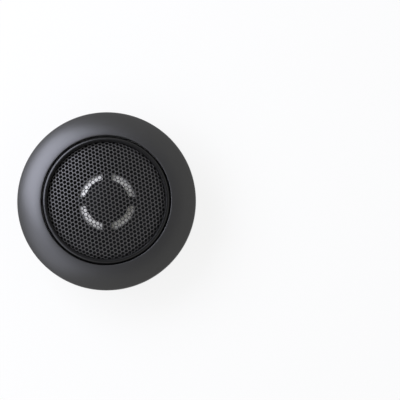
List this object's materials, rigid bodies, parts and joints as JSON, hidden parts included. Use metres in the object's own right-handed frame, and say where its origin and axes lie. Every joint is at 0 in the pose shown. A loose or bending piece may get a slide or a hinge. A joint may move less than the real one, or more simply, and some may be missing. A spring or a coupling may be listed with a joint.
{
  "type": "car tweeter",
  "caption": "Flush-mount car tweeter: round satin bezel on a threaded barrel, with a ball-shaped pod that can be aimed and a domed perforated grille over a metal dome driver.",
  "frame": {"origin": "on the tweeter's axis, in the plane of the flange's rear face, which lies on the panel", "axes": "+Z along the axis, out of the grille; +X along the swivel pins; +Y towards the wire notch and the terminals"},
  "size_m": [0.061, 0.061, 0.0229],
  "materials": {
    "bezel_plastic": "satin, finely grained",
    "pod_plastic": "satin",
    "inner_plastic": "matte",
    "nut_plastic": "matte",
    "plate_plastic": "matte",
    "grille_paint": "black powder coat",
    "foam": "closed-cell foam",
    "nylon": "natural nylon",
    "plated_steel": "zinc plated",
    "nickel": "nickel plated",
    "screw_steel": "zinc plated",
    "felt": "felt",
    "surround_film": "formed film",
    "dome_metal": "satin",
    "former_film": "amber film",
    "copper": "enamelled wire",
    "laminate": "brown laminate",
    "tinned_brass": "tinned",
    "red_insulation": "wire sleeve",
    "black_insulation": "wire sleeve"
  },
  "bodies": {
    "bezel_body": {"bezel": "bezel_plastic", "panel_gasket": "foam", "friction_washer": "nylon", "retainer_ring": "inner_plastic"},
    "swivel": {"swivel_ring": "inner_plastic"},
    "pod": {"pod_front": "pod_plastic", "grille": "grille_paint", "phase_plate": "plate_plastic", "pod_rear": "pod_plastic", "steel_cup": "plated_steel", "magnet": "nickel", "pole_plate": "plated_steel", "felt_pad": "felt", "surround_carrier": "inner_plastic", "surround": "surround_film", "terminal_board": "laminate", "pod_screw_1": "screw_steel", "pod_screw_2": "screw_steel", "pod_screw_3": "screw_steel", "swivel_pin_1": "screw_steel", "swivel_pin_2": "screw_steel", "terminal_tab_1": "tinned_brass", "terminal_tab_2": "tinned_brass", "terminal_rivet_1": "tinned_brass", "terminal_rivet_2": "tinned_brass", "coil_eyelet_1": "tinned_brass", "coil_eyelet_2": "tinned_brass", "lead_wire_1": "black_insulation", "lead_wire_2": "red_insulation", "coil_tail_1": "copper", "coil_tail_2": "copper"},
    "diaphragm": {"dome": "dome_metal", "coil_former": "former_film", "voice_coil": "copper"},
    "washer": {"slip_washer": "nylon"},
    "nut": {"mounting_nut": "nut_plastic"}
  },
  "joints": [
    {"name": "aim_turn", "type": "hinge", "parent": "bezel_body", "child": "swivel", "pos_m": [0, 0, 0.001], "axis": [0, 0, 1], "continuous": true},
    {"name": "aim_tilt", "type": "hinge", "parent": "swivel", "child": "pod", "pos_m": [0, 0, 0.001], "axis": [1, 0, 0], "range_deg": [-10, 10]},
    {"name": "dome_travel", "type": "slide", "parent": "pod", "child": "diaphragm", "axis": [0, 0, 1], "range_m": [-0.0004, 0.0004], "stiffness_N_per_m": 500, "deforming": ["surround", "coil_tail_1", "coil_tail_2"]},
    {"name": "washer_slide", "type": "slide", "parent": "bezel_body", "child": "washer", "axis": [0, 0, 1], "range_m": [-0.0035, 0.0039]},
    {"name": "nut_turn", "type": "hinge", "parent": "washer", "child": "nut", "pos_m": [0, 0, -0.0085], "axis": [0, 0, 1], "range_deg": [-421, 469]}
  ],
  "couplings": [
    {"joint": "nut_turn", "follows": "washer_slide", "rad_per_m": 2094.4}
  ]
}
